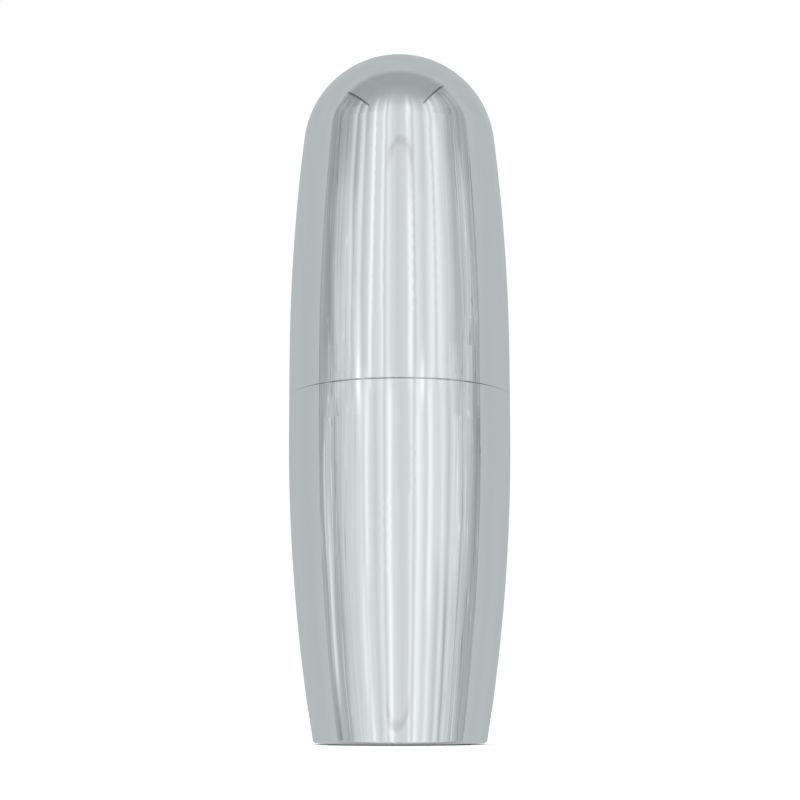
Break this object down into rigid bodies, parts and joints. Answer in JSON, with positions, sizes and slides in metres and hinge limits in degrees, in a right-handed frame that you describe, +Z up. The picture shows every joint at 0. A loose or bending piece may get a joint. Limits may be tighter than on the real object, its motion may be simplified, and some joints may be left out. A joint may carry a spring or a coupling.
{
  "type": "cryptex",
  "caption": "Polished metal capsule with a pull-off domed cap over a stack of numeral dial rings that lock a hidden vault tube.",
  "frame": {"origin": "centre of the foot, on the surface that the capsule stands on", "axes": "+Z up the capsule's axis to the dome; -Y is the front, where the index marks and the code are read; +X to the right"},
  "size_m": [0.0508, 0.0508, 0.16],
  "materials": {
    "mirror_chrome": "polished",
    "black_rubber": "matte",
    "dark_steel": "satin",
    "turned_steel": "satin",
    "turned_aluminium": "satin",
    "ground_steel": "polished",
    "dial_brass": "satin",
    "turned_brass": "satin",
    "white_washer": "matte",
    "spring_steel": "satin"
  },
  "bodies": {
    "base": {"lower_shell": "mirror_chrome", "foot_pad": "black_rubber", "base_screw": "dark_steel", "ballast_block": "turned_aluminium", "vault_tube": "turned_steel", "lock_pins": "ground_steel"},
    "lock_core": {"barrel": "turned_steel", "spigot_collar": "turned_steel", "base_seal": "black_rubber", "cap_seal": "black_rubber", "collar_grub_screws": "dark_steel", "spacer_washers": "white_washer", "retaining_clip": "spring_steel", "crown": "turned_steel", "crown_grub_screws": "dark_steel"},
    "cap": {"upper_shell": "mirror_chrome"},
    "vault_plug": {"stopper": "turned_brass", "stopper_seal": "black_rubber"},
    "ring_1": {"dial_ring_1": "dial_brass", "gate_ring_1": "turned_brass", "detent_ball_1": "ground_steel", "detent_spring_1": "spring_steel"},
    "ring_2": {"dial_ring_2": "dial_brass", "gate_ring_2": "turned_brass", "detent_ball_2": "ground_steel", "detent_spring_2": "spring_steel"},
    "ring_3": {"dial_ring_3": "dial_brass", "gate_ring_3": "turned_brass", "detent_ball_3": "ground_steel", "detent_spring_3": "spring_steel"},
    "ring_4": {"dial_ring_4": "dial_brass", "gate_ring_4": "turned_brass", "detent_ball_4": "ground_steel", "detent_spring_4": "spring_steel"},
    "ring_5": {"dial_ring_5": "dial_brass", "gate_ring_5": "turned_brass", "detent_ball_5": "ground_steel", "detent_spring_5": "spring_steel"}
  },
  "joints": [
    {"name": "core_lift", "type": "slide", "parent": "base", "child": "lock_core", "axis": [0, 0, 1], "range_m": [0, 0.07]},
    {"name": "cap_lift", "type": "slide", "parent": "lock_core", "child": "cap", "axis": [0, 0, 1], "range_m": [0, 0.08]},
    {"name": "stopper_lift", "type": "slide", "parent": "base", "child": "vault_plug", "axis": [0, 0, 1], "range_m": [0, 0.008]},
    {"name": "ring_1_turn", "type": "hinge", "parent": "lock_core", "child": "ring_1", "pos_m": [0, 0, 0.09025], "axis": [0, 0, 1], "continuous": true},
    {"name": "ring_2_turn", "type": "hinge", "parent": "lock_core", "child": "ring_2", "pos_m": [0, 0, 0.09975], "axis": [0, 0, 1], "continuous": true},
    {"name": "ring_3_turn", "type": "hinge", "parent": "lock_core", "child": "ring_3", "pos_m": [0, 0, 0.10925], "axis": [0, 0, 1], "continuous": true},
    {"name": "ring_4_turn", "type": "hinge", "parent": "lock_core", "child": "ring_4", "pos_m": [0, 0, 0.11875], "axis": [0, 0, 1], "continuous": true},
    {"name": "ring_5_turn", "type": "hinge", "parent": "lock_core", "child": "ring_5", "pos_m": [0, 0, 0.12825], "axis": [0, 0, 1], "continuous": true}
  ]
}
